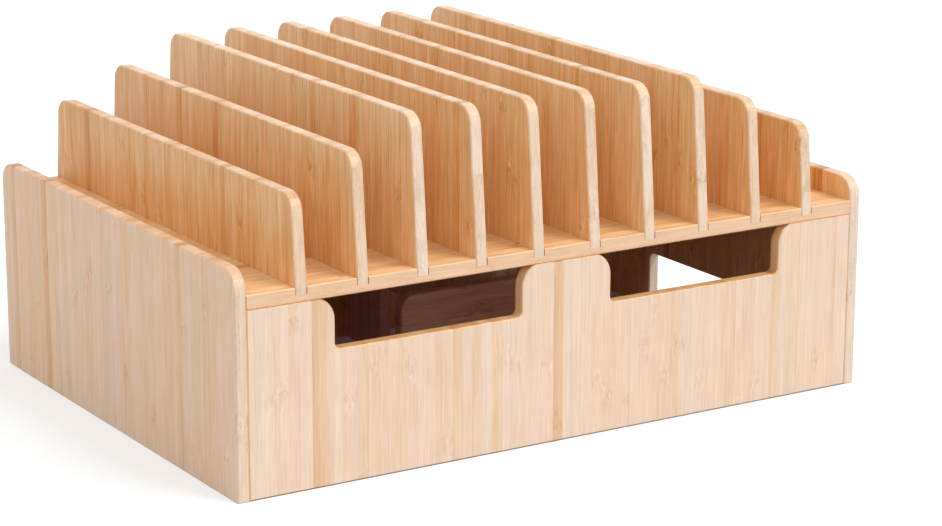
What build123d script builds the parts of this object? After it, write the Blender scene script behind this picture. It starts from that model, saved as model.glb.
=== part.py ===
"""Bamboo charging station organizer.

Ten upright dividers stand in the grooves of a shelf and make eleven slots for
phones and tablets. The shelf runs between two side panels. Under it is a bay
that is open at the table, so the organizer is set down over a power strip.

X is the width, the front faces -Y and +Z is up. The origin is the centre of the
footprint, on the table. Lengths are in millimetres.
"""

from build123d import *
import os
from math import radians, tan

os.makedirs("parts", exist_ok=True)

# Overall size
overall_width = 349.25
overall_depth = 254.0

# Boards
board = 6.0
shelf_board = 7.0
edge_ease = 0.5

# Heights above the table
side_height = 106.5
shelf_underside = 88.0
low_divider_height = 136.5
middle_divider_height = 151.5
tall_divider_height = 165.1

# Dividers
divider_count = 10
end_slot_width = 24.3
divider_lean = 5.2  # degrees from upright, at the front and back edges
divider_corner = 9.0
groove_depth = 3.5
groove_play = 0.1

# Side panels, with a stopped housing for the shelf and a notch for the power cord
side_corner = 10.0
housing_depth = 2.5
housing_stop = 14.0
housing_play = 0.1
notch_width = 85.0
notch_height = 30.5
notch_corner = 4.0

# Front panel cut-outs, where the charging cords come out
cutout_count = 2
cutout_width = 99.5
cutout_pitch = 149.3
cutout_depth = 24.3
cutout_flare = 11.0
flare_crest = 0.7
cutout_corner = 3.0

# Boards inside the bay
guard_setback = 52.0
guard_width = 119.0
guard_height = 66.4
guard_corner = 8.0
rear_recess = 43.0
pass_height = 36.0

# Length by which a cut runs past the board that it cuts
overrun = 5.0

# Places worked out from the sizes
inner_width = overall_width - 2 * board
inner_side = inner_width / 2
front = -overall_depth / 2
back = overall_depth / 2
shelf_top = shelf_underside + shelf_board
groove_floor = shelf_top - groove_depth
outer_divider = inner_side - end_slot_width - board / 2
divider_pitch = 2 * outer_divider / (divider_count - 1)
cutout_floor = shelf_underside - cutout_depth
guard_front = front + guard_setback
guard_back = guard_front + board
back_panel_back = back - rear_recess
back_panel_front = back_panel_back - board
end_bottom = (Align.CENTER, Align.MIN)


def divider_height(number):
    """Height of a divider, counted from the left: low at the ends, then a step up twice."""
    from_end = min(number, divider_count + 1 - number)
    steps = {1: low_divider_height, 2: middle_divider_height}
    return steps.get(from_end, tall_divider_height)


def divider_place(number):
    """X of a divider's middle. The row is centred between the side panels."""
    return (number - (divider_count + 1) / 2) * divider_pitch


def raised_edges(faces, lowest):
    """Edges of the given faces that lie above the height lowest."""
    return faces.edges().filter_by(lambda edge: edge.center().Z > lowest)


# Side panels
def side_panel(hand, notched):
    """A side panel with rounded top corners. hand is -1 on the left and 1 on the right."""
    inner_face = Plane.YZ.offset(hand * inner_side)
    with BuildPart() as panel:
        with BuildSketch(inner_face) as outline:
            Rectangle(overall_depth, side_height, align=end_bottom)
            fillet(outline.vertices().group_by(Axis.Y)[-1], side_corner)
            if notched:
                Rectangle(notch_width, notch_height, align=end_bottom, mode=Mode.SUBTRACT)
                notch_top = outline.vertices().group_by(Axis.Y)[1]
                fillet(notch_top, notch_corner)
        extrude(amount=hand * board)
        chamfer(raised_edges(panel.faces().filter_by(Axis.X), lowest=0), edge_ease)
        with BuildSketch(inner_face):
            with Locations((0, shelf_underside)):
                Rectangle(
                    overall_depth - 2 * housing_stop,
                    shelf_board + housing_play,
                    align=end_bottom,
                )
        extrude(amount=hand * housing_depth, mode=Mode.SUBTRACT)
    return panel.part


left_side = side_panel(hand=-1, notched=False)
left_side.label = "left_side"
export_step(left_side, "parts/left_side.step")

right_side = side_panel(hand=1, notched=True)
right_side.label = "right_side"
export_step(right_side, "parts/right_side.step")

# Shelf, with a tongue at each end and a groove across its top for each divider
with BuildPart() as shelf:
    with BuildSketch(Plane.XY.offset(shelf_underside)):
        Rectangle(inner_width, overall_depth)
    extrude(amount=shelf_board)
    front_and_back = shelf.faces().filter_by(Axis.Y)
    chamfer(front_and_back.edges().filter_by(Axis.X), edge_ease)
    with BuildSketch(Plane.XY.offset(shelf_underside)):
        Rectangle(
            inner_width + 2 * (housing_depth - housing_play),
            overall_depth - 2 * (housing_stop + housing_play),
        )
    extrude(amount=shelf_board)
    with BuildSketch(Plane.XY.offset(groove_floor)):
        for number in range(1, divider_count + 1):
            with Locations((divider_place(number), 0)):
                Rectangle(board + 2 * groove_play, overall_depth + 2 * overrun)
    extrude(amount=groove_depth + overrun, mode=Mode.SUBTRACT)

shelf.part.label = "shelf"
export_step(shelf.part, "parts/shelf.step")

# Front panel, with two cut-outs that flare out under the shelf. The shelf's underside
# takes off the crest of each flare, so that it meets the shelf at a clear angle.
with BuildPart() as front_panel:
    with BuildSketch(Plane.XZ.offset(-front)) as panel_outline:
        Rectangle(inner_width, shelf_underside + flare_crest, align=end_bottom)
        for column in range(cutout_count):
            cutout_x = (column - (cutout_count - 1) / 2) * cutout_pitch
            with Locations((cutout_x, cutout_floor)):
                Rectangle(
                    cutout_width,
                    cutout_depth + flare_crest,
                    align=end_bottom,
                    mode=Mode.SUBTRACT,
                )
        fillet(panel_outline.vertices().group_by(Axis.Y)[1], cutout_corner)
        top_corners = panel_outline.vertices().group_by(Axis.Y)[-1].sort_by(Axis.X)
        fillet(top_corners[1:-1], cutout_flare)
        with Locations((0, shelf_underside)):
            Rectangle(inner_width, flare_crest, align=end_bottom, mode=Mode.SUBTRACT)
    extrude(amount=-board)
    chamfer(raised_edges(front_panel.faces().sort_by(Axis.Y)[:1], lowest=0), edge_ease)

front_panel.part.label = "front_panel"
export_step(front_panel.part, "parts/front_panel.step")

# Back panel, set in under the shelf
with BuildPart() as back_panel:
    with BuildSketch(Plane.XZ.offset(-back_panel_front)):
        Rectangle(inner_width, shelf_underside, align=end_bottom)
    extrude(amount=-board)

back_panel.part.label = "back_panel"
export_step(back_panel.part, "parts/back_panel.step")

# Cord guard, a low board across the bay that keeps the power strip back from the cut-outs
with BuildPart() as cord_guard:
    with BuildSketch(Plane.XZ.offset(-guard_front)) as guard_outline:
        Rectangle(guard_width, guard_height, align=end_bottom)
        fillet(guard_outline.vertices().group_by(Axis.Y)[-1], guard_corner)
    extrude(amount=-board)
    chamfer(raised_edges(cord_guard.faces().filter_by(Axis.Y), lowest=0), edge_ease)

cord_guard.part.label = "cord_guard"
export_step(cord_guard.part, "parts/cord_guard.step")

# Centre partition, from the cord guard to the back panel, under the middle of the shelf
with BuildPart() as centre_partition:
    with BuildSketch(Plane.YZ.offset(-board / 2)) as partition_outline:
        with Locations(((guard_back + back_panel_front) / 2, 0)):
            Rectangle(back_panel_front - guard_back, shelf_underside, align=end_bottom)
        Rectangle(notch_width, pass_height, align=end_bottom, mode=Mode.SUBTRACT)
        fillet(partition_outline.vertices().group_by(Axis.Y)[1], notch_corner)
    extrude(amount=board)

centre_partition.part.label = "centre_partition"
export_step(centre_partition.part, "parts/centre_partition.step")


# Dividers, with front and back edges that lean in towards a rounded top
def divider(height, centre_x):
    """An upright board that stands on the floor of its groove."""
    lean = (height - shelf_top) * tan(radians(divider_lean))
    with BuildPart() as upright:
        with BuildSketch(Plane.YZ.offset(centre_x - board / 2)) as outline:
            with BuildLine():
                Polyline(
                    (front, groove_floor),
                    (front, shelf_top),
                    (front + lean, height),
                    (back - lean, height),
                    (back, shelf_top),
                    (back, groove_floor),
                    close=True,
                )
            make_face()
            fillet(outline.vertices().group_by(Axis.Y)[-1], divider_corner)
        extrude(amount=board)
        chamfer(raised_edges(upright.faces().filter_by(Axis.X), lowest=groove_floor), edge_ease)
    return upright.part


for number in range(1, divider_count + 1):
    upright = divider(divider_height(number), divider_place(number))
    upright.label = f"divider_{number}"
    export_step(upright, f"parts/divider_{number}.step")
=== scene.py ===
"""Looks of a bamboo charging station organizer, around its fixed frame.

Every board keeps the shape that the frame gives it. This script gives each board its
side-pressed bamboo, with the strips, fibres and knuckles running the way the board was
cut, and sets the studio: a white table, soft light and the camera.
"""

import logging
from dataclasses import dataclass
from enum import Enum
from math import radians

import bpy
from mathutils import Euler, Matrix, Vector


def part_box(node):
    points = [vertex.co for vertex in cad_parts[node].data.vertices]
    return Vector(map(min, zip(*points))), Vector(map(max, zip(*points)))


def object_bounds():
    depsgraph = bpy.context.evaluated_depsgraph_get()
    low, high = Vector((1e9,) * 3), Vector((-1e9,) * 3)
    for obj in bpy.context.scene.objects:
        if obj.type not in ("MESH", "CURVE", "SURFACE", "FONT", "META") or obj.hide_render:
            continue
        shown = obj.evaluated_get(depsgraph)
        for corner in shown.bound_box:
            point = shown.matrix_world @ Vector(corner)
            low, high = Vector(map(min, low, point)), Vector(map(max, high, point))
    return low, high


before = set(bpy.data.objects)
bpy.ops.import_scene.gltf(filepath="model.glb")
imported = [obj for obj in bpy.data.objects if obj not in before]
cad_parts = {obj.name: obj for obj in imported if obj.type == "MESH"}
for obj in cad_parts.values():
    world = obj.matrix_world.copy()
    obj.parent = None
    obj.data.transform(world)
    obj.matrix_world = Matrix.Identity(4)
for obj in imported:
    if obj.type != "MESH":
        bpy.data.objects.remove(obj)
cad_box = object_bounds()

log = logging.getLogger("organizer")

MM = 0.001
RIGHT_ANGLE_DEG = 90.0
FULL_TURN_DEG = 360.0
PHOTO_WIDTH_PX = 942
SENSOR_WIDTH_MM = 36.0

# The highest value of a byte, and the curve of sRGB: a straight foot up to its knee, and a power
# above it
BYTE_MAX = 255
SRGB_KNEE = 0.04045
SRGB_FOOT = 12.92
SRGB_OFFSET = 0.055
SRGB_POWER = 2.4

# The middle of a range from 0 to 1. A hue at the middle leaves a colour as it is
MIDDLE = 0.5

# Inputs and output of a Mix node for colours, which has others of the same names
MIX_A, MIX_B = 6, 7
MIX_RESULT = 2

# Map Range settings for a soft rise from 0 to 1, and for a soft fall from 1 to 0
RISE = {"interpolation_type": "SMOOTHSTEP"}
FALL = RISE | {"To Min": 1.0, "To Max": 0.0}

Output = bpy.types.Node | bpy.types.NodeSocket


def linear(hex_colour: str) -> tuple[float, float, float, float]:
    """Turns an sRGB hex colour into the linear colour that a shader takes.

    Args:
        hex_colour: The colour as "#RRGGBB".

    Returns:
        Red, green, blue and an alpha of 1, all linear.
    """
    channels = []
    for byte in bytes.fromhex(hex_colour.lstrip("#")):
        value = byte / BYTE_MAX
        power = ((value + SRGB_OFFSET) / (1 + SRGB_OFFSET)) ** SRGB_POWER
        channels.append(value / SRGB_FOOT if value <= SRGB_KNEE else power)
    return (channels[0], channels[1], channels[2], 1.0)


def add_node(
    tree: bpy.types.NodeTree,
    kind: str,
    settings: dict | None = None,
    links: dict[str | int, Output] | None = None,
) -> bpy.types.Node:
    """Adds a node with its settings and links.

    Args:
        tree: The node tree that takes the node.
        kind: The node's type, such as "ShaderNodeMath".
        settings: Values by the name of a property, or by the name or number of an input.
        links: What feeds an input, by the input's name or number. A node gives its first output.

    Returns:
        The new node.
    """
    node = tree.nodes.new(kind)
    for key, value in (settings or {}).items():
        if isinstance(key, str) and hasattr(node, key):
            setattr(node, key, value)
        else:
            node.inputs[key].default_value = value
    for key, source in (links or {}).items():
        socket = source.outputs[0] if isinstance(source, bpy.types.Node) else source
        tree.links.new(socket, node.inputs[key])
    return node


class Run(Enum):
    """How a board's strips lie: the axis across the strips, and the one along the grain."""

    SIDE = ("Y", "Z")
    FRONT = ("X", "Z")
    SHELF = ("Y", "X")
    RAIL = ("Z", "X")

    @property
    def across(self) -> str:
        """The axis that crosses one strip after another."""
        return self.value[0]

    @property
    def along(self) -> str:
        """The axis that the fibres follow."""
        return self.value[1]

    @property
    def through(self) -> str:
        """The axis that is left, through the board's thickness."""
        return ({"X", "Y", "Z"} - set(self.value)).pop()


@dataclass(frozen=True)
class Tones:
    """The colours of a lot of bamboo, evenly spaced from its palest strip to its darkest.

    strip_contrast is how much its strips differ in colour, and fibre_contrast how much its
    fibres differ in brightness.
    """

    colours: tuple[str, ...]
    strip_contrast: float
    fibre_contrast: float


class Lot(Enum):
    """The lots of bamboo that the boards are pressed from."""

    PALE = Tones(
        ("#F4DFCA", "#F1D5BB", "#ECC6A0", "#E0AB7A", "#A8754A"), strip_contrast=0.58, fibre_contrast=1.1
    )
    IVORY = Tones(
        ("#F3E2CF", "#EED6C0", "#E7C7A6", "#D6A77F", "#A0765A"), strip_contrast=0.60, fibre_contrast=1.4
    )
    CREAM = Tones(
        ("#F4DDC4", "#F1CFAD", "#ECBF98", "#DDA270", "#986438"), strip_contrast=0.62, fibre_contrast=1.3
    )
    STRAW = Tones(
        ("#F4D6B2", "#F0C99C", "#E9B680", "#D4945A", "#8E5A30"), strip_contrast=0.60, fibre_contrast=1.4
    )
    # Honey bamboo whose deeper, more orange tones are partly the wood's own and partly painted warm
    # shade, standing for the bounce light in the slots and inside the case
    HONEY_AND_PAINTED_SHADE = Tones(
        ("#F2D2A6", "#EBBF8B", "#E3A967", "#CE8848", "#845026"), strip_contrast=0.66, fibre_contrast=2.3
    )
    # The same bamboo painted darker, greyer and rosier, as painted shade for the boards deep inside the
    # bay
    PAINTED_BAY_SHADE = Tones(
        ("#EBCDB9", "#DDB49C", "#CB9A80", "#AE7A60", "#6E4430"), strip_contrast=0.60, fibre_contrast=2.3
    )


@dataclass(frozen=True)
class Board:
    """A board of the frame, and the bamboo that it is made of.

    seed gives the board strips of its own, and depth is its middle tone along its lot's colours.
    Its cut edges and ends look like cut_lot. The face that looks along inward, 1 or -1 through the
    thickness, faces the inside of the case and takes its inner lot's darker, warmer colours as
    painted shade. An inward of 0 leaves both faces alike.
    """

    node: str
    run: Run
    lot: Lot
    seed: float
    depth: float
    cut_lot: Lot
    inner_painted_shade_lot: Lot = Lot.HONEY_AND_PAINTED_SHADE
    inward: float = 0.0


@dataclass(frozen=True)
class Place:
    """Where a point lies in its board, in millimetres, and what kind of face it lies on.

    edge, end and inner are 1 on a cut edge, a cut end and the face that is turned inwards, and
    rim is 1 at the borders of a cut edge.
    """

    across: Output
    through: Output
    along: Output
    edge: Output
    end: Output
    inner: Output
    rim: Output


@dataclass(frozen=True)
class Strips:
    """The strip under a point: its three random numbers, the way to its middle, and its glue line."""

    chance: bpy.types.Node
    from_middle: Output
    glue: Output


@dataclass(frozen=True)
class Knuckles:
    """The knuckle by a point: how near it is, its core line, and how far it pushes the fibres."""

    near: Output
    core: Output
    swirl: Output


@dataclass(frozen=True)
class Shares:
    """How much of each pattern goes into a sum.

    strip, streak, fibre and patch go up and down about a middle. The others are 0 in most places.
    """

    strip: float = 0.0
    streak: float = 0.0
    fibre: float = 0.0
    patch: float = 0.0
    odd_strip: float = 0.0
    skin_side: float = 0.0
    mottle: float = 0.0
    block: float = 0.0
    rim: float = 0.0
    end: float = 0.0
    flecks: float = 0.0
    glue: float = 0.0
    bundles: float = 0.0
    core: float = 0.0


@dataclass(frozen=True)
class BambooFinish:
    """Side-pressed natural bamboo, planed, sanded and sprayed with a thin satin lacquer.

    Narrow strips of slightly different tones lie side by side, each as deep as the board is
    thick, so a face shows soft stripes, an end shows a row of small blocks, and an edge shows
    the paler face of a single strip. Fibres crowd towards one side of each strip. Knuckles
    cross each strip at a height of their own, and the fibres swirl round them. The lacquer
    gives a low, broad shine.
    """

    strip_mm: float = 5.6
    strip_unevenness: float = 0.7
    # One strip in 25 is darker than the rest, as far as its random number is above this
    odd_strip_from: float = 0.96
    # A glue line is 0.1 mm wide and a lone bundle 0.3 mm. Both are drawn at 0.5 mm, about a pixel
    # of the photograph
    line_mm: float = 0.5
    streak_mm: float = 1.3
    streak_length_mm: float = 60.0
    # Real fibre bundles are about 0.3 mm wide, and are drawn at twice that so that they show
    fibre_mm: float = 0.6
    fibre_length_mm: float = 16.0
    patch_mm: float = 5.0
    patch_length_mm: float = 25.0
    # Lone dark bundles lie this far apart, and show where a patch is between these two tones
    bundle_spacing_mm: float = 2.4
    bundle_unevenness: float = 0.9
    bundle_patch: tuple[float, float] = (0.47, 0.62)
    # Noise seldom leaves the middle half of its range, so the fibres wander over half of this
    bend_mm: float = 2.4
    bend_width_mm: float = 15.0
    bend_length_mm: float = 60.0
    knuckle_spacing_mm: float = 230.0
    knuckle_reach_mm: float = 12.0
    knuckle_line_mm: float = 1.6
    # A knuckle pushes the fibres this far to either side at most
    swirl_mm: float = 4.4
    swirl_grain_mm: float = 5.0
    swirl_grain_length_mm: float = 10.0
    mottle_mm: float = 1.1
    mottle_length_mm: float = 3.6
    # Mottle above this tone darkens a knuckle, and mottle below it makes it paler
    mottle_level: float = 0.46
    fleck_mm: float = 0.8
    fleck_length_mm: float = 2.6
    # A fleck fades between these two shares of its cell, and shows where a patch has these tones
    fleck_fade: tuple[float, float] = (0.15, 0.5)
    fleck_patch: tuple[float, float] = (0.44, 0.54)
    grain_detail: float = 2.0
    # How far a board's seed moves its strips, grains and bundles, and how far a strip's random
    # number moves its grains
    strip_shift: float = 7.3
    grain_shift: float = 11.7
    bundle_shift: float = 3.1
    strip_grain_shift: float = 37.0
    # What makes a strip's colour deeper, and what makes its wood darker
    colour_shares: Shares = Shares(
        strip=0.30, patch=0.30, odd_strip=0.36, skin_side=0.55, mottle=0.95, block=0.34, rim=0.30,
        end=0.26, flecks=0.16,
    )
    shade_shares: Shares = Shares(
        streak=0.16, fibre=0.26, patch=0.05, glue=0.065, bundles=0.055, mottle=0.28, core=0.03,
        flecks=0.05, end=0.04,
    )
    # Saturation rises by this share of what brightness falls
    deepening: float = 0.5
    # The sanded borders of a cut edge take up more lacquer, and are warmer than its middle
    rim_mm: float = 1.2
    # A strip leans a little to pink or to straw
    hue_lean_deg: float = 0.9
    roughness: float = 0.48
    roughness_spread: float = 0.08
    coat: float = 0.10
    coat_roughness: float = 0.32
    ior: float = 1.5
    bump: float = 0.3
    bump_height_mm: float = 0.05
    glue_sink: float = 0.6

    def place(self, tree: bpy.types.NodeTree, board: Board) -> Place:
        """Finds where a point lies in its board.

        Args:
            tree: The material's node tree.
            board: The board.

        Returns:
            The place.
        """
        point = add_node(tree, "ShaderNodeTexCoord")
        in_mm = add_node(
            tree, "ShaderNodeVectorMath", {"operation": "SCALE", "Scale": 1 / MM},
            {0: point.outputs["Object"]},
        )
        axes = add_node(tree, "ShaderNodeSeparateXYZ", links={0: in_mm}).outputs
        facing = add_node(tree, "ShaderNodeSeparateXYZ", links={0: point.outputs["Normal"]}).outputs
        run = board.run
        edge, end = (
            add_node(tree, "ShaderNodeMath", {"operation": "ABSOLUTE"}, {0: facing[axis]})
            for axis in (run.across, run.along)
        )
        inner = add_node(
            tree, "ShaderNodeMath", {"operation": "MULTIPLY", 1: board.inward, "use_clamp": True},
            {0: facing[run.through]},
        )
        low, high = (corner["XYZ".index(run.through)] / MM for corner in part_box(board.node))
        off_middle = add_node(
            tree, "ShaderNodeMath", {"operation": "SUBTRACT", 1: (low + high) / 2}, {0: axes[run.through]}
        )
        aside = add_node(tree, "ShaderNodeMath", {"operation": "ABSOLUTE"}, {0: off_middle})
        half = (high - low) / 2
        border = add_node(
            tree, "ShaderNodeMapRange", RISE | {"From Min": half - self.rim_mm, "From Max": half},
            {"Value": aside},
        )
        rim = add_node(tree, "ShaderNodeMath", {"operation": "MULTIPLY"}, {0: border, 1: edge})
        return Place(axes[run.across], axes[run.through], axes[run.along], edge, end, inner, rim)

    def strips(self, tree: bpy.types.NodeTree, place: Place, seed: float) -> Strips:
        """Lays the strips side by side, with a glue line between two.

        Args:
            tree: The material's node tree.
            place: Where a point lies in its board.
            seed: A number that gives this board strips of its own.

        Returns:
            The strips.
        """
        count = add_node(
            tree, "ShaderNodeMath",
            {"operation": "MULTIPLY_ADD", 1: 1 / self.strip_mm, 2: self.strip_shift * seed},
            {0: place.across},
        )
        row = {"voronoi_dimensions": "1D", "Scale": 1.0, "Randomness": self.strip_unevenness}
        cell = add_node(tree, "ShaderNodeTexVoronoi", row, {"W": count})
        chance = add_node(tree, "ShaderNodeSeparateColor", links={0: cell.outputs["Color"]})
        from_middle = add_node(
            tree, "ShaderNodeMath", {"operation": "SUBTRACT"}, {0: count, 1: cell.outputs["W"]}
        )
        joint = add_node(
            tree, "ShaderNodeTexVoronoi", row | {"feature": "DISTANCE_TO_EDGE"}, {"W": count}
        )
        glue = add_node(
            tree, "ShaderNodeMapRange", FALL | {"From Max": self.line_mm / self.strip_mm},
            {"Value": joint},
        )
        glue_here = add_node(
            tree, "ShaderNodeMath", {"operation": "MULTIPLY"}, {0: glue, 1: chance.outputs[1]}
        )
        return Strips(chance, from_middle, glue_here)

    def knuckles(self, tree: bpy.types.NodeTree, place: Place, strips: Strips, seed: float) -> Knuckles:
        """Crosses each strip with knuckles at a height of its own.

        Args:
            tree: The material's node tree.
            place: Where a point lies in its board.
            strips: The board's strips.
            seed: A number that gives this board swirls of its own.

        Returns:
            The knuckles.
        """
        height = add_node(
            tree, "ShaderNodeMath", {"operation": "MULTIPLY_ADD", 1: 1 / self.knuckle_spacing_mm},
            {0: place.along, 2: strips.chance.outputs[1]},
        )
        in_stem = add_node(tree, "ShaderNodeMath", {"operation": "FRACT"}, {0: height})
        from_knuckle = add_node(
            tree, "ShaderNodeMath", {"operation": "SUBTRACT", 1: MIDDLE}, {0: in_stem}
        )
        gap = add_node(tree, "ShaderNodeMath", {"operation": "ABSOLUTE"}, {0: from_knuckle})
        grain_mm = (self.swirl_grain_mm, self.swirl_grain_mm, self.swirl_grain_length_mm)
        turn = self.grain_noise(tree, place, place.across, grain_mm, seed)
        reach = self.knuckle_reach_mm / self.knuckle_spacing_mm
        ragged_gap = add_node(
            tree, "ShaderNodeMath", {"operation": "MULTIPLY_ADD", 1: reach}, {0: turn, 2: gap}
        )
        # The noise adds half the reach on average
        start = reach / 2
        near, core = (
            add_node(
                tree, "ShaderNodeMapRange",
                FALL | {"From Min": start, "From Max": start + width / self.knuckle_spacing_mm},
                {"Value": ragged_gap},
            )
            for width in (self.knuckle_reach_mm, self.knuckle_line_mm)
        )
        side = add_node(
            tree, "ShaderNodeMapRange", {"To Min": -self.swirl_mm, "To Max": self.swirl_mm},
            {"Value": turn},
        )
        swirl = add_node(tree, "ShaderNodeMath", {"operation": "MULTIPLY"}, {0: side, 1: near})
        return Knuckles(near, core, swirl)

    def grain_noise(
        self,
        tree: bpy.types.NodeTree,
        place: Place,
        across: Output,
        grain_mm: tuple[float, float, float],
        seed: float,
        strips: Strips | None = None,
    ) -> bpy.types.Node:
        """Draws soft grains of a real size, long along the board or round.

        Args:
            tree: The material's node tree.
            place: Where a point lies in its board.
            across: The place across the strips, after the fibres are bent.
            grain_mm: The size of a grain across, through and along.
            seed: A number that gives the grains a pattern of their own.
            strips: The board's strips, if the grains end at a strip's side.

        Returns:
            The noise, from 0 to 1.
        """
        point = add_node(
            tree, "ShaderNodeCombineXYZ", links={0: across, 1: place.through, 2: place.along}
        )
        scaled = add_node(
            tree, "ShaderNodeVectorMath",
            {"operation": "MULTIPLY", 1: tuple(1 / size for size in grain_mm)}, {0: point},
        )
        shift = self.grain_shift * seed
        noise = {"noise_dimensions": "4D", "W": shift, "Scale": 1.0, "Detail": self.grain_detail}
        if strips is None:
            return add_node(tree, "ShaderNodeTexNoise", noise, {"Vector": scaled})
        own = add_node(
            tree, "ShaderNodeMath", {"operation": "MULTIPLY_ADD", 1: self.strip_grain_shift, 2: shift},
            {0: strips.chance.outputs[2]},
        )
        return add_node(tree, "ShaderNodeTexNoise", noise, {"Vector": scaled, "W": own})

    def bundles(self, tree: bpy.types.NodeTree, across: Output, patch: Output, seed: float) -> Output:
        """Draws lone thin dark bundles of fibres that come and go along the board.

        Args:
            tree: The material's node tree.
            across: The place across the strips, after the fibres are bent.
            patch: Where the bundles show, from 0 to 1.
            seed: A number that gives this board bundles of its own.

        Returns:
            The bundles, from 0 to 1.
        """
        count = add_node(
            tree, "ShaderNodeMath",
            {"operation": "MULTIPLY_ADD", 1: 1 / self.bundle_spacing_mm, 2: self.bundle_shift * seed},
            {0: across},
        )
        cell = add_node(
            tree, "ShaderNodeTexVoronoi",
            {"voronoi_dimensions": "1D", "feature": "DISTANCE_TO_EDGE", "Scale": 1.0,
             "Randomness": self.bundle_unevenness},
            {"W": count},
        )
        line = add_node(
            tree, "ShaderNodeMapRange", FALL | {"From Max": self.line_mm / self.bundle_spacing_mm},
            {"Value": cell},
        )
        fewest, most = self.bundle_patch
        shown = add_node(
            tree, "ShaderNodeMapRange", RISE | {"From Min": fewest, "From Max": most}, {"Value": patch}
        )
        return add_node(tree, "ShaderNodeMath", {"operation": "MULTIPLY"}, {0: line, 1: shown})

    def flecks(self, tree: bpy.types.NodeTree, place: Place, patch: Output) -> Output:
        """Draws the short dark flecks that a strip's own face shows on a board's edge.

        Args:
            tree: The material's node tree.
            place: Where a point lies in its board.
            patch: Where the flecks show, from 0 to 1.

        Returns:
            The flecks, from 0 to 1.
        """
        point = add_node(
            tree, "ShaderNodeCombineXYZ", links={0: place.across, 1: place.through, 2: place.along}
        )
        per_mm = (1 / self.fleck_mm, 1 / self.fleck_mm, 1 / self.fleck_length_mm)
        scaled = add_node(
            tree, "ShaderNodeVectorMath", {"operation": "MULTIPLY", 1: per_mm}, {0: point}
        )
        fleck = add_node(
            tree, "ShaderNodeTexVoronoi", {"Scale": 1.0, "Randomness": 1.0}, {"Vector": scaled}
        )
        inside, outside = self.fleck_fade
        mark = add_node(
            tree, "ShaderNodeMapRange", FALL | {"From Min": inside, "From Max": outside},
            {"Value": fleck},
        )
        fewest, most = self.fleck_patch
        shown = add_node(
            tree, "ShaderNodeMapRange", RISE | {"From Min": fewest, "From Max": most}, {"Value": patch}
        )
        on_edge = add_node(tree, "ShaderNodeMath", {"operation": "MULTIPLY"}, {0: mark, 1: place.edge})
        return add_node(tree, "ShaderNodeMath", {"operation": "MULTIPLY"}, {0: on_edge, 1: shown})

    def add_up(
        self,
        tree: bpy.types.NodeTree,
        even: tuple[tuple[float, Output], ...],
        marks: tuple[tuple[float, Output], ...],
    ) -> Output:
        """Adds up what the patterns give.

        Args:
            tree: The material's node tree.
            even: Patterns that go up and down about 0.5, each after its share.
            marks: Patterns that are 0 in most places, each after its share.

        Returns:
            The sum, which is 0 where every even pattern is 0.5 and there is no mark.
        """
        (share, source), *others = even + marks
        level = -MIDDLE * sum(part for part, _ in even)
        total = add_node(
            tree, "ShaderNodeMath", {"operation": "MULTIPLY_ADD", 1: share, 2: level}, {0: source}
        )
        for share, source in others:
            total = add_node(
                tree, "ShaderNodeMath", {"operation": "MULTIPLY_ADD", 1: share}, {0: source, 2: total}
            )
        return total

    def colour(self, tree: bpy.types.NodeTree, tones: Tones, tone: Output) -> Output:
        """Turns a tone from 0 to 1 into a colour of the lot.

        Args:
            tree: The material's node tree.
            tones: The lot's colours.
            tone: The tone, from palest to darkest.

        Returns:
            The colour.
        """
        ramp = add_node(tree, "ShaderNodeValToRGB", links={0: tone})
        stops = ramp.color_ramp.elements
        stops[0].color, stops[1].color = linear(tones.colours[0]), linear(tones.colours[-1])
        for number, colour in enumerate(tones.colours[1:-1], start=1):
            stops.new(number / (len(tones.colours) - 1)).color = linear(colour)
        return ramp.outputs[0]

    def material(self, board: Board) -> bpy.types.Material:
        """Makes the finish for one board.

        Args:
            board: The board, whose name ends the material's name.

        Returns:
            The material.
        """
        material = bpy.data.materials.new(f"side_pressed_bamboo_satin_lacquer_{board.node}")
        material.use_nodes = True
        tree = material.node_tree
        tree.nodes.clear()
        # Each noise has a seed of its own, one more than the last
        seed = board.seed
        # The inner lot is painted shade for the faces turned towards the inside of the case
        faces, shaded_insides, cuts = board.lot.value, board.inner_painted_shade_lot.value, board.cut_lot.value
        place = self.place(tree, board)
        strips = self.strips(tree, place, seed)
        knuckles = self.knuckles(tree, place, strips, seed + 1)
        chance = strips.chance.outputs

        bend_grain_mm = (self.bend_width_mm, self.bend_width_mm, self.bend_length_mm)
        bend = self.grain_noise(tree, place, place.across, bend_grain_mm, seed)
        pushed = add_node(
            tree, "ShaderNodeMath", {"operation": "MULTIPLY_ADD", 1: self.bend_mm},
            {0: bend, 2: knuckles.swirl},
        )
        bent = add_node(tree, "ShaderNodeMath", {"operation": "ADD"}, {0: place.across, 1: pushed})
        streak, fibre, patch, mottle = (
            self.grain_noise(tree, place, bent, (width, width, length), seed + step, strips)
            for step, (width, length) in enumerate(
                (
                    (self.streak_mm, self.streak_length_mm), (self.fibre_mm, self.fibre_length_mm),
                    (self.patch_mm, self.patch_length_mm), (self.mottle_mm, self.mottle_length_mm),
                ),
                start=2,
            )
        )
        bundles = self.bundles(tree, bent, patch.outputs[0], seed)
        flecks = self.flecks(tree, place, patch.outputs[0])
        odd_strip = add_node(
            tree, "ShaderNodeMapRange", RISE | {"From Min": self.odd_strip_from, "From Max": 1.0},
            {"Value": chance[2]},
        )
        crowding = add_node(
            tree, "ShaderNodeMath", {"operation": "SUBTRACT", 0: MIDDLE}, {1: chance[2]}
        )
        skin_side = add_node(
            tree, "ShaderNodeMath", {"operation": "MULTIPLY"}, {0: strips.from_middle, 1: crowding}
        )
        mottled = add_node(
            tree, "ShaderNodeMath", {"operation": "SUBTRACT", 1: self.mottle_level}, {0: mottle}
        )
        mottle_here = add_node(
            tree, "ShaderNodeMath", {"operation": "MULTIPLY"}, {0: mottled, 1: knuckles.near}
        )
        block = add_node(tree, "ShaderNodeMath", {"operation": "MULTIPLY"}, {0: chance[1], 1: place.end})

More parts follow.
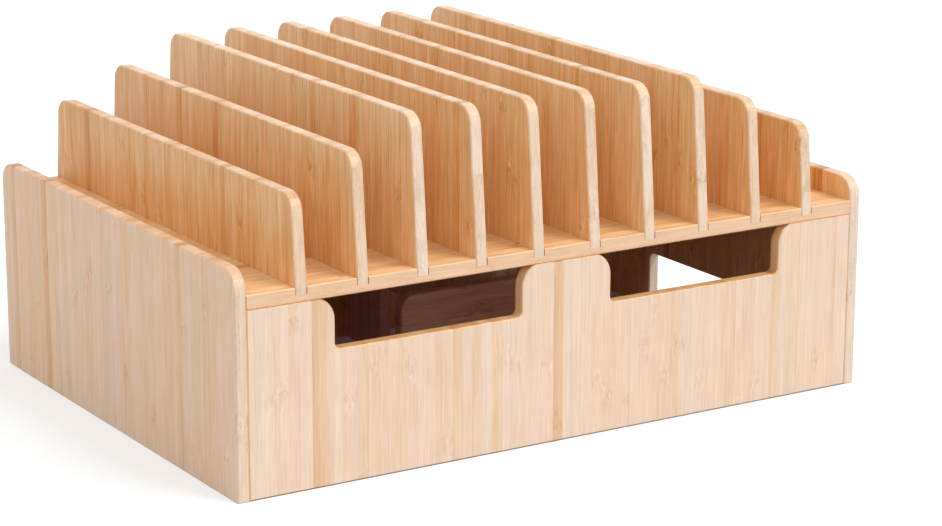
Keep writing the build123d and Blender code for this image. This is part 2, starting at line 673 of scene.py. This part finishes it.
        # The strips differ in colour. Fibres and marks make a strip brighter or darker, and where
        # it is darker its colour is a little stronger.
        cut = add_node(tree, "ShaderNodeMath", {"operation": "MAXIMUM"}, {0: place.edge, 1: place.end})
        strip_spread, fibre_spread = (
            add_node(
                tree, "ShaderNodeMapRange", {"To Max": on_cut},
                {
                    "Value": cut,
                    "To Min": add_node(
                        tree, "ShaderNodeMapRange", {"To Min": on_face, "To Max": on_shaded_inside},
                        {"Value": place.inner},
                    ),
                },
            )
            for on_face, on_shaded_inside, on_cut in (
                (faces.strip_contrast, shaded_insides.strip_contrast, cuts.strip_contrast),
                (-faces.fibre_contrast, -shaded_insides.fibre_contrast, -cuts.fibre_contrast),
            )
        )
        share = self.colour_shares
        strip_sum = self.add_up(
            tree,
            even=((share.strip, chance[0]), (share.patch, patch)),
            marks=(
                (share.odd_strip, odd_strip), (share.skin_side, skin_side), (share.mottle, mottle_here),
                (share.block, block), (share.rim, place.rim), (share.end, place.end),
                (share.flecks, flecks),
            ),
        )
        share = self.shade_shares
        fibre_sum = self.add_up(
            tree,
            even=((share.streak, streak), (share.fibre, fibre), (share.patch, patch)),
            marks=(
                (share.glue, strips.glue), (share.bundles, bundles), (share.mottle, mottle_here),
                (share.core, knuckles.core), (share.flecks, flecks), (share.end, place.end),
            ),
        )
        tone = add_node(
            tree, "ShaderNodeMath", {"operation": "MULTIPLY_ADD", 2: board.depth},
            {0: strip_sum, 1: strip_spread},
        )
        value = add_node(
            tree, "ShaderNodeMath", {"operation": "MULTIPLY_ADD", 2: 1.0}, {0: fibre_sum, 1: fibre_spread}
        )
        strength = add_node(
            tree, "ShaderNodeMath",
            {"operation": "MULTIPLY_ADD", 1: -self.deepening, 2: 1 + self.deepening}, {0: value},
        )
        on_faces, on_shaded_insides, on_cuts = (
            self.colour(tree, tones, tone) for tones in (faces, shaded_insides, cuts)
        )
        # The faces turned inwards take painted shade: the darker, warmer colours of the inner lot
        uncut = add_node(
            tree, "ShaderNodeMix", {"data_type": "RGBA"},
            {0: place.inner, MIX_A: on_faces, MIX_B: on_shaded_insides},
        )
        colour = add_node(
            tree, "ShaderNodeMix", {"data_type": "RGBA"},
            {0: cut, MIX_A: uncut.outputs[MIX_RESULT], MIX_B: on_cuts},
        )
        most_lean = self.hue_lean_deg / FULL_TURN_DEG
        lean = add_node(
            tree, "ShaderNodeMapRange", {"To Min": MIDDLE - most_lean, "To Max": MIDDLE + most_lean},
            {"Value": chance[1]},
        )
        shaded = add_node(
            tree, "ShaderNodeHueSaturation",
            links={
                "Hue": lean, "Saturation": strength, "Value": value,
                "Color": colour.outputs[MIX_RESULT],
            },
        )

        # Dark fibres are harder, so sanding leaves them a little proud, and they shine a little less.
        # Glue lines lie lower.
        spread = self.roughness_spread
        shine = add_node(
            tree, "ShaderNodeMapRange",
            {"To Min": self.roughness - spread, "To Max": self.roughness + spread}, {"Value": fibre},
        )
        relief = add_node(
            tree, "ShaderNodeMath", {"operation": "MULTIPLY_ADD", 1: -self.glue_sink},
            {0: strips.glue, 2: fibre},
        )
        bump = add_node(
            tree, "ShaderNodeBump", {"Strength": self.bump, "Distance": self.bump_height_mm * MM},
            {"Height": relief},
        )
        shader = add_node(
            tree, "ShaderNodeBsdfPrincipled",
            {"IOR": self.ior, "Coat Weight": self.coat, "Coat Roughness": self.coat_roughness},
            {"Base Color": shaded, "Roughness": shine, "Normal": bump},
        )
        add_node(tree, "ShaderNodeOutputMaterial", links={"Surface": shader})
        return material

    def dress(self, board: Board) -> None:
        """Gives a board of the frame its own bamboo.

        Args:
            board: The board.
        """
        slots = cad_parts[board.node].data.materials
        slots.clear()
        slots.append(self.material(board))
        lot, run = board.lot.name.lower(), board.run.name.lower()
        log.info("dressed %s in %s bamboo, strips run as on a %s", board.node, lot, run)


@dataclass
class Case:
    """The boards that stand on the table and carry the shelf, all with upright strips."""

    finish: BambooFinish
    boards: tuple[Board, ...] = (
        Board("left_side", Run.SIDE, Lot.PALE, seed=8.35, depth=0.44, cut_lot=Lot.IVORY, inward=1.0),
        Board("right_side", Run.SIDE, Lot.PALE, seed=2.81, depth=0.32, cut_lot=Lot.IVORY, inward=-1.0),
        Board("front_panel", Run.FRONT, Lot.PALE, seed=3.59, depth=0.25, cut_lot=Lot.STRAW, inward=1.0),
        Board("back_panel", Run.FRONT, Lot.PALE, seed=4.23, depth=0.30, cut_lot=Lot.CREAM, inward=-1.0),
    )

    def dress(self) -> None:
        """Gives each board its bamboo."""
        for board in self.boards:
            self.finish.dress(board)


@dataclass
class Deck:
    """The shelf, with strips from side to side, and the dividers that stand in its grooves."""

    finish: BambooFinish
    # The shelf and the dividers take honey bamboo, partly painted with the warm shade of the slots
    # between the dividers
    shelf: Board = Board("shelf", Run.SHELF, Lot.HONEY_AND_PAINTED_SHADE, seed=5.47, depth=0.29, cut_lot=Lot.CREAM)
    divider_depths: tuple[float, ...] = (0.40, 0.33, 0.23, 0.25, 0.27, 0.28, 0.29, 0.26, 0.28, 0.33)
    divider_seed: float = 6.1
    divider_seed_step: float = 1.93

    def dress(self) -> None:
        """Gives the shelf its bamboo, and each divider upright strips of its own."""
        self.finish.dress(self.shelf)
        for number, depth in enumerate(self.divider_depths, start=1):
            seed = self.divider_seed + self.divider_seed_step * number
            self.finish.dress(
                Board(f"divider_{number}", Run.SIDE, Lot.HONEY_AND_PAINTED_SHADE, seed, depth, cut_lot=Lot.IVORY)
            )


@dataclass
class Bay:
    """The boards inside the bay under the shelf, in bamboo painted darker, greyer and rosier as the bay's
    shade. The cord guard's strips lie down.
    """

    finish: BambooFinish
    boards: tuple[Board, ...] = (
        Board("centre_partition", Run.SIDE, Lot.PAINTED_BAY_SHADE, seed=31.7, depth=0.05, cut_lot=Lot.PAINTED_BAY_SHADE),
        Board("cord_guard", Run.RAIL, Lot.PAINTED_BAY_SHADE, seed=33.1, depth=0.30, cut_lot=Lot.PAINTED_BAY_SHADE),
    )

    def dress(self) -> None:
        """Gives each board its bamboo."""
        for board in self.boards:
            self.finish.dress(board)


@dataclass(frozen=True)
class Lamp:
    """A broad, far lamp in front of the object."""

    name: str
    strength: float
    spread_deg: float
    right_deg: float
    height_deg: float

    def hang(self) -> None:
        """Hangs the lamp at its height, turned to the right of the front or to the left."""
        light = bpy.data.lights.new(self.name, "SUN")
        light.energy = self.strength
        light.angle = radians(self.spread_deg)
        lamp = bpy.data.objects.new(self.name, light)
        tilt = radians(RIGHT_ANGLE_DEG - self.height_deg)
        lamp.rotation_euler = Euler((tilt, 0, radians(self.right_deg)))
        bpy.context.scene.collection.objects.link(lamp)


@dataclass
class Studio:
    """A white table in soft light, and the camera that took the picture."""

    floor_half_m: float = 12.0
    floor_drop_m: float = 0.0002
    floor_colour: str = "#BCBCBC"
    floor_glow: float = 0.50
    # Behind the back panel the shade under the shelf ends softly, over this depth
    rear_shade_m: float = 0.043
    # The floor under the object glows a dim plum, a painted glow that lights the bay so that it isn't
    # quite black
    bay_glow: str = "#36272B"
    white: str = "#FFFFFF"
    sky_side_strength: float = 0.26
    sky_top_strength: float = 1.16
    key: Lamp = Lamp("key", strength=1.69, spread_deg=30.0, right_deg=38.0, height_deg=50.0)
    fill: Lamp = Lamp("fill", strength=0.32, spread_deg=30.0, right_deg=-60.0, height_deg=18.0)
    camera_place_m: tuple[float, float, float] = (-0.7333, -1.2160, 0.4352)
    camera_turn_deg: tuple[float, float, float] = (75.1074, -0.1287, -31.9572)
    focal_px: float = 2907.3
    sight_m: float = 48.0

    def seen(self, tree: bpy.types.NodeTree) -> Output:
        """Tells a ray that sees the background, also in a shine or through glass, from one that lights.

        Args:
            tree: The node tree of the floor or the world.

        Returns:
            1 for a ray that sees, and 0 for a ray that lights.
        """
        path = add_node(tree, "ShaderNodeLightPath").outputs
        indirect = add_node(
            tree, "ShaderNodeMath", {"operation": "MAXIMUM"},
            {0: path["Is Glossy Ray"], 1: path["Is Transmission Ray"]},
        )
        return add_node(
            tree, "ShaderNodeMath", {"operation": "MAXIMUM"}, {0: path["Is Camera Ray"], 1: indirect}
        )

    def table(self) -> None:
        """Lays a white floor that keeps the object's shadow, and glows only dimly under the object."""
        bpy.ops.mesh.primitive_plane_add(
            size=2 * self.floor_half_m, location=(0, 0, -self.floor_drop_m)
        )
        floor = bpy.context.object
        floor.name = "floor"
        material = bpy.data.materials.new("matt_white_paper")
        material.use_nodes = True
        tree = material.node_tree
        tree.nodes.clear()
        place = add_node(tree, "ShaderNodeTexCoord")
        axes = add_node(tree, "ShaderNodeSeparateXYZ", links={0: place.outputs["Object"]}).outputs
        (left, front, _), (right, back, _) = cad_box
        aside, ahead = (
            add_node(tree, "ShaderNodeMath", {"operation": "LESS_THAN", 1: limit}, {0: axes[axis]})
            for axis, limit in (("X", left), ("Y", front))
        )
        beside = add_node(
            tree, "ShaderNodeMath", {"operation": "GREATER_THAN", 1: right}, {0: axes["X"]}
        )
        behind = add_node(
            tree, "ShaderNodeMapRange", RISE | {"From Min": back - self.rear_shade_m, "From Max": back},
            {"Value": axes["Y"]},
        )
        outside: Output = behind
        for way in (aside, ahead, beside):
            outside = add_node(tree, "ShaderNodeMath", {"operation": "MAXIMUM"}, {0: outside, 1: way})
        shown = add_node(
            tree, "ShaderNodeMath", {"operation": "MULTIPLY"}, {0: outside, 1: self.seen(tree)}
        )
        glow = add_node(
            tree, "ShaderNodeMath", {"operation": "MULTIPLY", 1: self.floor_glow}, {0: shown}
        )
        paper = add_node(tree, "ShaderNodeBsdfDiffuse", {"Color": linear(self.floor_colour)})
        white = add_node(
            tree, "ShaderNodeEmission", {"Color": linear(self.white)}, {"Strength": glow}
        )
        # Painted glow: the floor under the object emits dim plum light, seen by the camera and lighting
        # the bay
        dim = add_node(tree, "ShaderNodeEmission", {"Color": linear(self.bay_glow)})
        glows = add_node(tree, "ShaderNodeMixShader", links={0: outside, 1: dim, 2: white})
        both = add_node(tree, "ShaderNodeAddShader", links={0: paper, 1: glows})
        add_node(tree, "ShaderNodeOutputMaterial", links={"Surface": both})
        floor.data.materials.append(material)

    def light(self) -> None:
        """Sets a sky like a softbox overhead, white where it is seen, and hangs the two lamps."""
        world = bpy.data.worlds.new("studio_sky")
        bpy.context.scene.world = world
        world.use_nodes = True
        tree = world.node_tree
        tree.nodes.clear()
        place = add_node(tree, "ShaderNodeTexCoord")
        way = add_node(tree, "ShaderNodeSeparateXYZ", links={0: place.outputs["Generated"]})
        softbox = add_node(
            tree, "ShaderNodeMapRange",
            {"To Min": self.sky_side_strength, "To Max": self.sky_top_strength},
            {"Value": way.outputs["Z"]},
        )
        strength = add_node(
            tree, "ShaderNodeMapRange", {"To Max": 1.0}, {"Value": self.seen(tree), "To Min": softbox}
        )
        sky = add_node(
            tree, "ShaderNodeBackground", {"Color": linear(self.white)}, {"Strength": strength}
        )
        add_node(tree, "ShaderNodeOutputWorld", links={"Surface": sky})
        self.key.hang()
        self.fill.hang()

    def camera(self) -> None:
        """Places the camera, and keeps colours as they are written."""
        data = bpy.data.cameras.new("camera")
        data.sensor_width = SENSOR_WIDTH_MM
        data.lens = self.focal_px / PHOTO_WIDTH_PX * SENSOR_WIDTH_MM
        data.clip_end = self.sight_m
        camera = bpy.data.objects.new("camera", data)
        camera.location = Vector(self.camera_place_m)
        camera.rotation_euler = Euler([radians(turn) for turn in self.camera_turn_deg])
        bpy.context.scene.collection.objects.link(camera)
        bpy.context.scene.camera = camera
        bpy.context.scene.view_settings.view_transform = "Standard"

    def build(self) -> None:
        """Sets the table, the light and the camera."""
        self.table()
        self.light()
        self.camera()
        log.info("studio set")


def main() -> None:
    """Dresses the boards and sets the studio."""
    logging.basicConfig(level=logging.INFO, format="%(message)s")
    bpy.ops.object.select_all(action="DESELECT")
    finish = BambooFinish()
    Case(finish).dress()
    Deck(finish).dress()
    Bay(finish).dress()
    Studio().build()


if __name__ == "__main__":
    main()
